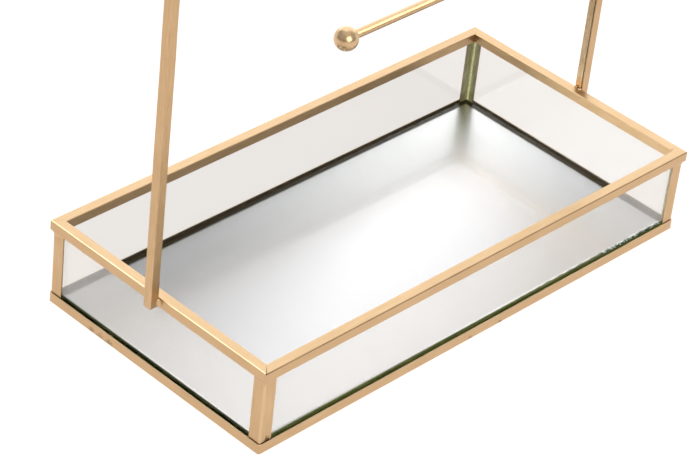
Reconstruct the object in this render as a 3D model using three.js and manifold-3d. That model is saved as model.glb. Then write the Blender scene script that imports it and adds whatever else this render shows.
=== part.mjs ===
// Jewellery stand with a glass-walled, mirror-floored dresser tray.
// A folded brass rim and a folded brass base hold four panes of glass, corner angles tie the two together,
// and a square-tube portal soldered to the short sides carries a ball-ended hanging arm.
// Millimetres, +Z up.  X runs along the tray, Y across it.  The origin is on the surface that the base
// stands on, below the middle of the tray.

import * as THREE from 'three';
import { mergeVertices } from 'three/addons/utils/BufferGeometryUtils.js';
import Module from 'manifold-3d';

const wasm = await Module();
wasm.setup();

// ---- tray: driving sizes -------------------------------------------------------------------------------
const RIM_LENGTH = 250;          // outside of the rim along X
const RIM_DEPTH = 126;           // outside of the rim along Y
const RIM_HEIGHT = 40.2;         // top face of the rim above the table
const SHEET = 0.4;               // thickness of the folded brass strip
const RAIL_OUTER_DROP = 4.6;     // height of a rim rail's outer flange
const RAIL_INNER_DROP = 4.4;     // height of a rim rail's inner flange
const RAIL_FOLD_RADIUS = 0.45;   // outside radius of a rail's folds
const MITRE_GAP = 0.12;          // open slit between two mitred rails, measured along the rails
const SOLDER_ROOM = 0.5;         // space between a rail's outer flange and the corner angle behind it
const CLEARANCE = 0.05;          // what any two pieces keep from each other where they meet
const ANGLE_LEG = 6.2;           // width of a corner angle's leg
const ANGLE_RIDGE_RADIUS = 0.8;  // outside radius of a corner angle's ridge
const BASE_HEIGHT = 4.7;         // height of the base strip's upright lip
const BASE_LEDGE = 8;            // width of the base's inward ledge, from the outside of its lip
const LIP_GAP = 0.15;            // dark gap between the base lip and a corner angle
const LEDGE_SLIT = 0.3;          // width of the mitre slit in the ledge at each bend
const SEAM_SLIT = 0.3;           // butt seam of the base strip, in the middle of the back

// ---- glass and floor -----------------------------------------------------------------------------------
const GLASS_THICKNESS = 2.8;     // side panes
const MIRROR_THICKNESS = 3;      // floor
const MIRROR_GAP = 0.25;         // between the floor's edge and the panes around it
const BACKING_THICKNESS = 1.55;  // felt-faced board below the mirror

// ---- stand ---------------------------------------------------------------------------------------------
const STAND_HEIGHT = 300;        // top of the crossbar above the table
const TUBE = 4.25;               // outside of the square tube
const TUBE_WALL = 0.5;
const TUBE_SEAM = 0.35;          // open seam where the tube's folded strip closes
const TUBE_EDGE_RADIUS = 0.35;   // outside radius of the tube's long edges
const POST_OVERLAP = 4.2;        // how far a post reaches down past the top of the rim
const PORTAL_MITRE_GAP = 0.1;    // between a post and the crossbar, along the tube
const ARM_HEIGHT = 123;          // centre line of the hanging arm
const ARM_DIAMETER = 3.75;
const ARM_REACH = 156;           // from the post's inner face to the centre of the ball
const BALL_DIAMETER = 10.2;
const BALL_BORE_DEPTH = 3.4;     // how far the rod goes into the ball

// ---- solder --------------------------------------------------------------------------------------------
const CORNER_SOLDER_HEIGHT = 2.2;  // wedge below the rim at a corner
const CORNER_SOLDER_PROUD = 0.75;  // how far that wedge stands out from the corner angle
const CORNER_SOLDER_FEATHER = 0.15;
const POST_SOLDER_LEG = 1.7;       // fillet beside a post
const ARM_SOLDER_LENGTH = 1.3;     // ring at the root of the arm
const ARM_SOLDER_FLARE = 0.24;

// ---- places that follow from the sizes -----------------------------------------------------------------
// Insets are measured inwards from the outside of the rim.
const ANGLE_INSET = SHEET + SOLDER_ROOM;
const GLASS_INSET = ANGLE_INSET + SHEET + CLEARANCE;
const GLASS_INNER = GLASS_INSET + GLASS_THICKNESS;
const RAIL_WIDTH = GLASS_INNER + CLEARANCE + SHEET;
const BASE_INSET = ANGLE_INSET - LIP_GAP - SHEET;
const BASE_CORNER_RADIUS = ANGLE_RIDGE_RADIUS + LIP_GAP + SHEET;
const LEDGE_TOP = SHEET + CLEARANCE;
const RIM_UNDERSIDE = RIM_HEIGHT - SHEET - CLEARANCE;
const BACKING_TOP = LEDGE_TOP + BACKING_THICKNESS;
const MIRROR_BOTTOM = BACKING_TOP + CLEARANCE;
const FLOOR_INSET = GLASS_INNER + MIRROR_GAP;
const POST_INNER_FACE = RIM_LENGTH / 2 + CLEARANCE;
const POST_CENTRE = POST_INNER_FACE + TUBE / 2;
const POST_FOOT = RIM_HEIGHT - POST_OVERLAP;
const CROSSBAR_HALF = POST_CENTRE + TUBE / 2;
const ARM_ROOT = POST_INNER_FACE - CLEARANCE;
const BALL_X = POST_INNER_FACE - ARM_REACH;
const ARM_TIP = BALL_X + BALL_DIAMETER / 2 - BALL_BORE_DEPTH;

// ---- materials -----------------------------------------------------------------------------------------
function finish(color, roughness, metalness, extra = {}) {
  return new THREE.MeshStandardMaterial({ color, roughness, metalness, ...extra });
}

const FINISHES = {
  brass: () => finish(0xe3b985, 0.32, 0.9),
  solder: () => finish(0xd6b48c, 0.45, 0.85),
  glass: () => finish(0xe6efe6, 0.03, 0, { transparent: true, opacity: 0.3 }),
  mirror: () => finish(0xe4e6e8, 0.08, 1),
  felt: () => finish(0x2c2b29, 0.95, 0),
};

// ---- the assembly and small helpers --------------------------------------------------------------------
const stand = new THREE.Group();
stand.name = 'jewellery_stand';

function addPiece(name, geometry, finishName, parent = stand) {
  const mesh = new THREE.Mesh(geometry, FINISHES[finishName]());
  mesh.name = name;
  parent.add(mesh);
  return mesh;
}

function turnedGroup(x, y, quarterTurns) {
  const group = new THREE.Group();
  group.position.set(x, y, 0);
  group.rotation.z = quarterTurns * Math.PI / 2;
  stand.add(group);
  return group;
}

function toSolid(geometry) {
  const bare = geometry.index ? geometry.toNonIndexed() : geometry.clone();
  bare.deleteAttribute('normal');
  bare.deleteAttribute('uv');
  const merged = mergeVertices(bare, 1e-5);
  return new wasm.Manifold(new wasm.Mesh({
    numProp: 3,
    vertProperties: new Float32Array(merged.attributes.position.array),
    triVerts: new Uint32Array(merged.index.array),
  }));
}

function toGeometry(solid) {
  const mesh = solid.getMesh();
  const geometry = new THREE.BufferGeometry();
  geometry.setAttribute('position', new THREE.BufferAttribute(new Float32Array(mesh.vertProperties), 3));
  geometry.setIndex(new THREE.BufferAttribute(new Uint32Array(mesh.triVerts), 1));
  geometry.computeVertexNormals();
  return geometry;
}

function blockBetween(x0, x1, y0, y1, z0, z1) {
  const block = new THREE.BoxGeometry(x1 - x0, y1 - y0, z1 - z0);
  return block.translate((x0 + x1) / 2, (y0 + y1) / 2, (z0 + z1) / 2);
}

function upright(shape, z0, z1, curveSegments = 5) {
  const options = { depth: z1 - z0, bevelEnabled: false, curveSegments };
  return new THREE.ExtrudeGeometry(shape, options).translate(0, 0, z0);
}

// ---- rim rails -----------------------------------------------------------------------------------------
// A rail is an upside-down channel.  Its section is drawn as (inset, height) and carried along the rail;
// each end point is then drawn back by its own inset, which cuts the 45 degree mitre.
function railSection() {
  const r = RAIL_FOLD_RADIUS;
  const top = RIM_HEIGHT;
  const section = new THREE.Shape();
  section.moveTo(0, top - RAIL_OUTER_DROP);
  section.lineTo(SHEET, top - RAIL_OUTER_DROP);
  section.lineTo(SHEET, top - SHEET);
  section.lineTo(RAIL_WIDTH - SHEET, top - SHEET);
  section.lineTo(RAIL_WIDTH - SHEET, top - RAIL_INNER_DROP);
  section.lineTo(RAIL_WIDTH, top - RAIL_INNER_DROP);
  section.lineTo(RAIL_WIDTH, top - r);
  section.absarc(RAIL_WIDTH - r, top - r, r, 0, Math.PI / 2, false);
  section.lineTo(r, top);
  section.absarc(r, top - r, r, Math.PI / 2, Math.PI, false);
  section.closePath();
  return section;
}

function railGeometry(length) {
  const geometry = new THREE.ExtrudeGeometry(railSection(), { depth: length, bevelEnabled: false, curveSegments: 4 });
  const position = geometry.attributes.position;
  for (let i = 0; i < position.count; i += 1) {
    const inset = position.getX(i);
    const height = position.getY(i);
    const end = position.getZ(i) > length / 2 ? 1 : -1;
    position.setXYZ(i, end * (length / 2 - inset - MITRE_GAP / 2), inset, height);
  }
  geometry.deleteAttribute('normal');
  geometry.deleteAttribute('uv');
  const rail = mergeVertices(geometry, 1e-5);
  rail.computeVertexNormals();
  return rail;
}

const SIDES = [
  { side: 'front', x: 0, y: -RIM_DEPTH / 2, turns: 0, length: RIM_LENGTH },
  { side: 'right', x: RIM_LENGTH / 2, y: 0, turns: 1, length: RIM_DEPTH },
  { side: 'back', x: 0, y: RIM_DEPTH / 2, turns: 2, length: RIM_LENGTH },
  { side: 'left', x: -RIM_LENGTH / 2, y: 0, turns: 3, length: RIM_DEPTH },
];

for (const { side, x, y, turns, length } of SIDES) {
  addPiece(`rim_rail_${side}`, railGeometry(length), 'brass', turnedGroup(x, y, turns));
}

// ---- side panes ----------------------------------------------------------------------------------------
// The long panes run the whole way, and the short ones stand between them.
function paneGeometry(length) {
  return blockBetween(-length / 2, length / 2, GLASS_INSET, GLASS_INNER, LEDGE_TOP, RIM_UNDERSIDE);
}

const LONG_PANE = RIM_LENGTH - 2 * GLASS_INSET;
const SHORT_PANE = RIM_DEPTH - 2 * (GLASS_INNER + CLEARANCE);

for (const { side, x, y, turns } of SIDES) {
  const length = turns % 2 === 0 ? LONG_PANE : SHORT_PANE;
  addPiece(`glass_${side}`, paneGeometry(length), 'glass', turnedGroup(x, y, turns));
}

// ---- corner angles and the solder below the rim --------------------------------------------------------
// Both are drawn for the corner at the group's own origin, with the tray towards +X and +Y.
function angleShape() {
  const outer = ANGLE_INSET;
  const inner = ANGLE_INSET + SHEET;
  const r = ANGLE_RIDGE_RADIUS;
  const shape = new THREE.Shape();
  shape.moveTo(outer + ANGLE_LEG, outer);
  shape.lineTo(outer + ANGLE_LEG, inner);
  shape.lineTo(inner, inner);
  shape.lineTo(inner, outer + ANGLE_LEG);
  shape.lineTo(outer, outer + ANGLE_LEG);
  shape.lineTo(outer, outer + r);
  shape.absarc(outer + r, outer + r, r, Math.PI, 1.5 * Math.PI, false);
  shape.closePath();
  return shape;
}

// The wedge is an L in plan.  At its foot the outer edge is drawn in until only a feather edge is left.
function cornerSolderGeometry() {
  const back = ANGLE_INSET - CLEARANCE;
  const face = ANGLE_INSET - CORNER_SOLDER_PROUD;
  const end = ANGLE_INSET + ANGLE_LEG;
  const top = RIM_HEIGHT - RAIL_OUTER_DROP - CLEARANCE;
  const bottom = top - CORNER_SOLDER_HEIGHT;
  const foot = back - CORNER_SOLDER_FEATHER;
  const shape = new THREE.Shape();
  shape.moveTo(face, face);
  shape.lineTo(end, face);
  shape.lineTo(end, back);
  shape.lineTo(back, back);
  shape.lineTo(back, end);
  shape.lineTo(face, end);
  shape.closePath();
  const wedge = upright(shape, bottom, top);
  const position = wedge.attributes.position;
  for (let i = 0; i < position.count; i += 1) {
    const low = position.getZ(i) < (bottom + top) / 2;
    if (low && position.getX(i) < (face + back) / 2) position.setX(i, foot);
    if (low && position.getY(i) < (face + back) / 2) position.setY(i, foot);
  }
  return toGeometry(toSolid(wedge));
}

const CORNERS = [
  { corner: 'front_left', x: -1, y: -1, turns: 0 },
  { corner: 'front_right', x: 1, y: -1, turns: 1 },
  { corner: 'back_right', x: 1, y: 1, turns: 2 },
  { corner: 'back_left', x: -1, y: 1, turns: 3 },
];

for (const { corner, x, y, turns } of CORNERS) {
  const group = turnedGroup(x * RIM_LENGTH / 2, y * RIM_DEPTH / 2, turns);
  addPiece(`corner_angle_${corner}`, upright(angleShape(), LEDGE_TOP, RIM_UNDERSIDE), 'brass', group);
  addPiece(`corner_solder_${corner}`, cornerSolderGeometry(), 'solder', group);
}

// ---- base frame ----------------------------------------------------------------------------------------
// One L-section strip bent round the tray: an upright lip with round bends, and a ledge that is slit at
// each bend so that it can fold flat.
function roundedOutline(halfX, halfY, radius, target) {
  target.moveTo(-halfX + radius, -halfY);
  target.lineTo(halfX - radius, -halfY);
  target.absarc(halfX - radius, -halfY + radius, radius, -Math.PI / 2, 0, false);
  target.lineTo(halfX, halfY - radius);
  target.absarc(halfX - radius, halfY - radius, radius, 0, Math.PI / 2, false);
  target.lineTo(-halfX + radius, halfY);
  target.absarc(-halfX + radius, halfY - radius, radius, Math.PI / 2, Math.PI, false);
  target.lineTo(-halfX, -halfY + radius);
  target.absarc(-halfX + radius, -halfY + radius, radius, Math.PI, 1.5 * Math.PI, false);
  return target;
}

function baseFrameGeometry() {
  const halfX = RIM_LENGTH / 2 - BASE_INSET;
  const halfY = RIM_DEPTH / 2 - BASE_INSET;
  const innerRadius = BASE_CORNER_RADIUS - SHEET;
  const lip = roundedOutline(halfX, halfY, BASE_CORNER_RADIUS, new THREE.Shape());
  lip.holes.push(roundedOutline(halfX - SHEET, halfY - SHEET, innerRadius, new THREE.Path()));
  const ledge = roundedOutline(halfX, halfY, BASE_CORNER_RADIUS, new THREE.Shape());
  const opening = new THREE.Path();
  opening.moveTo(-halfX + BASE_LEDGE, -halfY + BASE_LEDGE);
  opening.lineTo(halfX - BASE_LEDGE, -halfY + BASE_LEDGE);
  opening.lineTo(halfX - BASE_LEDGE, halfY - BASE_LEDGE);
  opening.lineTo(-halfX + BASE_LEDGE, halfY - BASE_LEDGE);
  opening.closePath();
  ledge.holes.push(opening);
  let frame = toSolid(upright(lip, 0, BASE_HEIGHT)).add(toSolid(upright(ledge, 0, SHEET)));
  const slitLength = (BASE_LEDGE - SHEET) * Math.SQRT2;
  const slitStart = BASE_CORNER_RADIUS;
  for (const { x, y } of CORNERS) {
    const slit = new THREE.BoxGeometry(slitLength, LEDGE_SLIT, 4 * SHEET);
    slit.rotateZ(Math.atan2(-y, -x));
    const reach = slitStart + slitLength / 2 * Math.SQRT1_2;
    slit.translate(x * (halfX - reach), y * (halfY - reach), 0);
    frame = frame.subtract(toSolid(slit));
  }
  const seam = blockBetween(-SEAM_SLIT / 2, SEAM_SLIT / 2, halfY - BASE_LEDGE - 1, halfY + 1, -1, BASE_HEIGHT + 1);
  return toGeometry(frame.subtract(toSolid(seam)));
}

addPiece('base_frame', baseFrameGeometry(), 'brass');

// ---- floor ---------------------------------------------------------------------------------------------
function floorSheet(z0, z1) {
  const halfX = RIM_LENGTH / 2 - FLOOR_INSET;
  const halfY = RIM_DEPTH / 2 - FLOOR_INSET;
  return blockBetween(-halfX, halfX, -halfY, halfY, z0, z1);
}

addPiece('floor_backing', floorSheet(LEDGE_TOP, BACKING_TOP), 'felt');
addPiece('floor_mirror', floorSheet(MIRROR_BOTTOM, MIRROR_BOTTOM + MIRROR_THICKNESS), 'mirror');

// ---- stand posts and crossbar --------------------------------------------------------------------------
// The tube is a strip folded into a square that doesn't quite close: the wall facing into the portal stops
// short of its neighbour.  The section is drawn with that wall towards -X.
function tubeSection() {
  const h = TUBE / 2;
  const inner = h - TUBE_WALL;
  const r = TUBE_EDGE_RADIUS;
  const seamEnd = -inner + TUBE_SEAM;
  const shape = new THREE.Shape();
  shape.moveTo(-h, -h + r);
  shape.absarc(-h + r, -h + r, r, Math.PI, 1.5 * Math.PI, false);
  shape.lineTo(h - r, -h);
  shape.absarc(h - r, -h + r, r, -Math.PI / 2, 0, false);
  shape.lineTo(h, h - r);
  shape.absarc(h - r, h - r, r, 0, Math.PI / 2, false);
  shape.lineTo(-h + r, h);
  shape.absarc(-h + r, h - r, r, Math.PI / 2, Math.PI, false);
  shape.lineTo(-h, seamEnd);
  shape.lineTo(-inner, seamEnd);
  shape.lineTo(-inner, inner);
  shape.lineTo(inner, inner);
  shape.lineTo(inner, -inner);
  shape.lineTo(-h, -inner);
  shape.closePath();
  return shape;
}

// Carries the tube section along +Z from z0 to z1; a mitred end is drawn back as it nears the -X side.
function tubeGeometry(z0, z1, mitreLow, mitreHigh) {
  const tube = upright(tubeSection(), z0, z1, 3);
  const position = tube.attributes.position;
  for (let i = 0; i < position.count; i += 1) {
    const drawBack = TUBE / 2 - position.getX(i) + PORTAL_MITRE_GAP / 2;
    const high = position.getZ(i) > (z0 + z1) / 2;
    if (high && mitreHigh) position.setZ(i, z1 - drawBack);
    if (!high && mitreLow) position.setZ(i, z0 + drawBack);
  }
  return toGeometry(toSolid(tube));
}

for (const [side, turns] of [['right', 0], ['left', 2]]) {
  const sign = side === 'right' ? 1 : -1;
  const group = turnedGroup(sign * POST_CENTRE, 0, turns);
  addPiece(`post_${side}`, tubeGeometry(POST_FOOT, STAND_HEIGHT, false, true), 'brass', group);
}

const crossbarGroup = new THREE.Group();
crossbarGroup.position.set(0, 0, STAND_HEIGHT - TUBE / 2);
stand.add(crossbarGroup);
const crossbarTube = tubeGeometry(-CROSSBAR_HALF, CROSSBAR_HALF, true, true);
addPiece('crossbar', crossbarTube, 'brass', crossbarGroup).rotation.y = -Math.PI / 2;

// ---- solder beside the posts ---------------------------------------------------------------------------
// A concave fillet in plan, between the rim's outer face and the side of the post.
function postSolderGeometry() {
  const shape = new THREE.Shape();
  shape.moveTo(0, 0);
  shape.lineTo(POST_SOLDER_LEG, 0);
  shape.quadraticCurveTo(POST_SOLDER_LEG * 0.3, POST_SOLDER_LEG * 0.3, 0, POST_SOLDER_LEG);
  shape.closePath();
  return upright(shape, POST_FOOT + CLEARANCE, RIM_HEIGHT - RAIL_FOLD_RADIUS);
}

const BEADS = [
  { name: 'post_solder_right_front', x: 1, y: -1, turns: 3 },
  { name: 'post_solder_right_back', x: 1, y: 1, turns: 0 },
  { name: 'post_solder_left_front', x: -1, y: -1, turns: 2 },
  { name: 'post_solder_left_back', x: -1, y: 1, turns: 1 },
];

for (const { name, x, y, turns } of BEADS) {
  const rimFace = RIM_LENGTH / 2 + CLEARANCE;
  const group = turnedGroup(x * rimFace, y * (TUBE / 2 + CLEARANCE), turns);
  addPiece(name, postSolderGeometry(), 'solder', group);
}

// ---- hanging arm ---------------------------------------------------------------------------------------
const ROD_SIDES = 32;

function armRodGeometry() {
  const rod = new THREE.CylinderGeometry(ARM_DIAMETER / 2, ARM_DIAMETER / 2, ARM_ROOT - ARM_TIP, ROD_SIDES);
  rod.rotateZ(-Math.PI / 2);
  return rod.translate((ARM_ROOT + ARM_TIP) / 2, 0, ARM_HEIGHT);
}

function armBallGeometry() {
  const ball = new THREE.SphereGeometry(BALL_DIAMETER / 2, 40, 24);
  ball.rotateZ(-Math.PI / 2);
  ball.translate(BALL_X, 0, ARM_HEIGHT);
  const boreRadius = ARM_DIAMETER / 2 + CLEARANCE;
  const boreBottom = ARM_TIP - CLEARANCE;
  const boreMouth = BALL_X + BALL_DIAMETER;
  const bore = new THREE.CylinderGeometry(boreRadius, boreRadius, boreMouth - boreBottom, ROD_SIDES);
  bore.rotateZ(-Math.PI / 2);
  bore.translate((boreMouth + boreBottom) / 2, 0, ARM_HEIGHT);
  return toGeometry(toSolid(ball).subtract(toSolid(bore)));
}

// A ring of solder where the rod meets the post, wider at the post than along the rod.
function armSolderGeometry() {
  const inner = ARM_DIAMETER / 2 + CLEARANCE;
  const profile = [
    new THREE.Vector2(inner, 0),
    new THREE.Vector2(inner + ARM_SOLDER_FLARE, 0),
    new THREE.Vector2(inner + ARM_SOLDER_FLARE * 0.6, ARM_SOLDER_LENGTH * 0.35),
    new THREE.Vector2(inner + ARM_SOLDER_FLARE * 0.3, ARM_SOLDER_LENGTH),
    new THREE.Vector2(inner, ARM_SOLDER_LENGTH),
    new THREE.Vector2(inner, 0),
  ];
  const ring = new THREE.LatheGeometry(profile, ROD_SIDES);
  ring.rotateZ(Math.PI / 2);
  return toGeometry(toSolid(ring.translate(ARM_ROOT, 0, ARM_HEIGHT)));
}

addPiece('arm_rod', armRodGeometry(), 'brass');
addPiece('arm_ball', armBallGeometry(), 'brass');
addPiece('arm_solder', armSolderGeometry(), 'solder');

export default stand;
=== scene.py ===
import math

import bpy
import numpy as np
from mathutils import Matrix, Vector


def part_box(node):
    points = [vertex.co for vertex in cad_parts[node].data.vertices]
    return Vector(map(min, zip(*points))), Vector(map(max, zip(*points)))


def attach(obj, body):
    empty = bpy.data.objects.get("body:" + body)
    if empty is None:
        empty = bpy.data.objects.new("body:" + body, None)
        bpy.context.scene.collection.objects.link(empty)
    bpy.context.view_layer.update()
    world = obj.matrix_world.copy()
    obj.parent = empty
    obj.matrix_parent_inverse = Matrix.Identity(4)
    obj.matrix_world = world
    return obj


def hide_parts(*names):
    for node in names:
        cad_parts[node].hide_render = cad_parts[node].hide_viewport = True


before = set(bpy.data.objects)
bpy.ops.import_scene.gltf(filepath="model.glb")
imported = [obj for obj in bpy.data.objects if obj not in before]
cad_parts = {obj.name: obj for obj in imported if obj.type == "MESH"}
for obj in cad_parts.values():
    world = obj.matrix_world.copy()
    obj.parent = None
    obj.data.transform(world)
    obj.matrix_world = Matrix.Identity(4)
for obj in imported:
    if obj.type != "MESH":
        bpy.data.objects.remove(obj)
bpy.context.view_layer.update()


# ---- Rim rails -------------------------------------------------------------------------------------------
# Four lengths of thin brass strip, folded by hand into upside-down channels that cap the glass. They are
# mitred at the corners, soldered underneath and plated a satin champagne gold.
MM = 0.001
STRIP_WALL = 0.4 * MM
RAIL_FOLD = 0.45 * MM
STRIP_EDGE = 0.12 * MM
INNER_FLANGE_SHORTER = 0.2 * MM
CLOSED_MITRE = 0.015 * MM
OPEN_MITRE = {"front_left": 0.6 * MM, "back_left": 0.1 * MM}
OPEN_WIDTH = 2.6 * MM
RAIL_STATIONS = 140
STRIP_WAVER = 0.035 * MM


def rounded_loop(corners, radii, steps=5, support=0.06 * MM):
    """A closed outline with every corner turned on an arc. Each arc's centre lies on the corner's bisector,
    one radius from both sides; its points are the centre plus the radius swung from one side's normal to
    the other's. A support point stands just before and after each arc, so flat sides shade flat."""
    corners = np.asarray(corners, float)
    radii = np.asarray(radii, float)[:, None]
    before = corners - np.roll(corners, 1, axis=0)
    after = np.roll(corners, -1, axis=0) - corners
    before /= np.linalg.norm(before, axis=1)[:, None]
    after /= np.linalg.norm(after, axis=1)[:, None]
    turn = np.arctan2(before[:, 0] * after[:, 1] - before[:, 1] * after[:, 0], (before * after).sum(1))
    side = np.sign(turn)[:, None]
    normal = np.stack([-before[:, 1], before[:, 0]], 1) * side
    tangent = radii * np.tan(np.abs(turn) / 2)[:, None]
    centre = corners - before * tangent + normal * radii
    swing = turn[:, None] * np.linspace(0, 1, steps + 1)[None, :]
    cos, sin = np.cos(swing), np.sin(swing)
    spoke_x = -(normal[:, 0, None] * cos - normal[:, 1, None] * sin)
    spoke_y = -(normal[:, 0, None] * sin + normal[:, 1, None] * cos)
    arc = centre[:, None, :] + radii[:, :, None] * np.stack([spoke_x, spoke_y], 2)
    first = (corners - before * (tangent + support))[:, None, :]
    last = (corners + after * (tangent + support))[:, None, :]
    return np.concatenate([first, arc, last], 1).reshape(-1, 2)


def ring_faces(rings, points, closed):
    """Quads between neighbouring rings of a grid of points; closed joins the last ring to the first."""
    ring = np.arange(rings if closed else rings - 1)[:, None]
    point = np.arange(points)[None, :]
    here, ahead = ring * points, (ring + 1) % rings * points
    step = (point + 1) % points
    return np.stack([here + point, here + step, ahead + step, ahead + point], 2).reshape(-1, 4)


def swept_piece(name, rings, materials, closed=False, sharp=38):
    """A solid through a stack of closed rings. Open stacks get a flat cap at each end. The UV map Strip
    holds the distance along the rings' middles and the distance round the ring, both in metres. Edges
    sharper than the sharp angle, in degrees, aren't smoothed."""
    count, points = rings.shape[:2]
    quads = ring_faces(count, points, closed)
    faces = [tuple(q) for q in quads.tolist()]
    if not closed:
        faces.append(tuple(range(points))[::-1])
        faces.append(tuple(range((count - 1) * points, count * points)))
    mesh = bpy.data.meshes.new(name)
    mesh.from_pydata(rings.reshape(-1, 3).tolist(), [], faces)
    mesh.validate()
    middle = rings.mean(1)
    along = np.concatenate([[0], np.cumsum(np.linalg.norm(np.diff(middle, axis=0), axis=1))])
    around = np.concatenate([[0], np.cumsum(np.linalg.norm(np.diff(rings[0], axis=0), axis=1))])
    loops = np.empty(len(mesh.loops), np.int32)
    mesh.loops.foreach_get("vertex_index", loops)
    uv = np.stack([along[loops // points], around[loops % points]], 1)
    layer = mesh.uv_layers.new(name="Strip")
    layer.data.foreach_set("uv", uv.astype(np.float32).ravel())
    for material in materials:
        mesh.materials.append(material)
    mesh.shade_smooth()
    mesh.set_sharp_from_angle(angle=math.radians(sharp))
    made = bpy.data.objects.new(name, mesh)
    bpy.context.collection.objects.link(made)
    face_outwards(made)
    return made


def face_outwards(piece):
    """Turns every face of a closed mesh over when the volume that its faces enclose comes out negative.
    The volume is a sixth of the sum of each triangle's triple product."""
    mesh = piece.data
    mesh.calc_loop_triangles()
    spots = np.empty(len(mesh.vertices) * 3)
    mesh.vertices.foreach_get("co", spots)
    corners = np.empty(len(mesh.loop_triangles) * 3, np.int32)
    mesh.loop_triangles.foreach_get("vertices", corners)
    a, b, c = np.moveaxis(spots.reshape(-1, 3)[corners.reshape(-1, 3)], 1, 0)
    if np.einsum("ij,ij->i", a, np.cross(b, c)).sum() < 0:
        mesh.flip_normals()


def quarter_turned(points, origin, turns):
    """Points turned about Z by quarter turns and moved to the origin given."""
    angle = turns * math.pi / 2
    cos, sin = round(math.cos(angle)), round(math.sin(angle))
    x, y, z = np.moveaxis(points, -1, 0)
    return np.stack([x * cos - y * sin + origin[0], x * sin + y * cos + origin[1], z + origin[2]], -1)


def slow_waver(distance, seed, size=STRIP_WAVER):
    """The slight unevenness of a hand-folded strip: three slow sines of unequal length, added up."""
    phase = np.random.default_rng(seed).uniform(0, 2 * math.pi, 3)
    lengths = np.array([61, 27, 11]) * MM
    shares = np.array([0.55, 0.3, 0.15])
    waves = np.sin(distance[..., None] * 2 * math.pi / lengths + phase)
    return size * (waves * shares).sum(-1)


SHADER_NODES = ("ShaderNodeBsdfPrincipled", "ShaderNodeBackground", "ShaderNodeEmission")


class Nodes:
    """Shortens the writing of a node tree, of a material, the world or a lamp: add makes a node and sets
    its inputs, and an input given as another node's output is linked. The shader is the tree's own."""

    def __init__(self, owner):
        self.owner = owner
        owner.use_nodes = True
        self.tree = owner.node_tree
        shaders = [node for node in self.tree.nodes if node.bl_idname in SHADER_NODES]
        self.shader = shaders[0]

    def feed(self, node, inputs):
        for key, value in inputs.items():
            socket = node.inputs[key]
            if isinstance(value, bpy.types.NodeSocket):
                self.tree.links.new(value, socket)
            else:
                socket.default_value = value

    def add(self, kind, settings=None, **inputs):
        node = self.tree.nodes.new(kind)
        for key, value in (settings or {}).items():
            setattr(node, key, value)
        self.feed(node, {key.replace("_", " "): value for key, value in inputs.items()})
        return node

    def noise(self, vector, scale, detail=3.0, roughness=0.55):
        node = self.add("ShaderNodeTexNoise", Vector=vector, Scale=scale, Detail=detail, Roughness=roughness)
        return node.outputs["Fac"]

    def spread(self, value, low, high, to_low, to_high):
        node = self.add("ShaderNodeMapRange", {"interpolation_type": "SMOOTHSTEP"}, Value=value)
        self.feed(node, {"From Min": low, "From Max": high, "To Min": to_low, "To Max": to_high})
        return node.outputs["Result"]

    def combine(self, first, second, operation="ADD"):
        node = self.add("ShaderNodeMath", {"operation": operation})
        self.feed(node, {0: first, 1: second})
        return node.outputs[0]

    def mix(self, share, first, second):
        node = self.add("ShaderNodeMix", {"data_type": "RGBA"})
        self.feed(node, {0: share, 6: first, 7: second})
        return node.outputs[2]

    def stretched(self, vector, scale):
        return self.add("ShaderNodeMapping", Vector=vector, Scale=scale).outputs["Vector"]

    def place(self):
        return self.add("ShaderNodeTexCoord").outputs["Object"]

    def strip(self):
        return self.add("ShaderNodeUVMap", {"uv_map": "Strip"}).outputs["UV"]

    def bump(self, height, distance, strength=1.0, normal=None):
        node = self.add("ShaderNodeBump", Height=height, Distance=distance, Strength=strength)
        if normal is not None:
            self.feed(node, {"Normal": normal})
        return node.outputs["Normal"]


GOLD_LIGHT = (0.63, 0.44, 0.25, 1)
GOLD_DEEP = (0.575, 0.393, 0.214, 1)
GOLD_WORN = (0.50, 0.335, 0.17, 1)
GOLD_PALE_WEAR_AND_HIGHLIGHT = (0.92, 0.74, 0.50, 1)
GOLD_BLOTCHED = (0.36, 0.27, 0.13, 1)
STAIN_BROWN = (0.035, 0.018, 0.008, 1)


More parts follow.
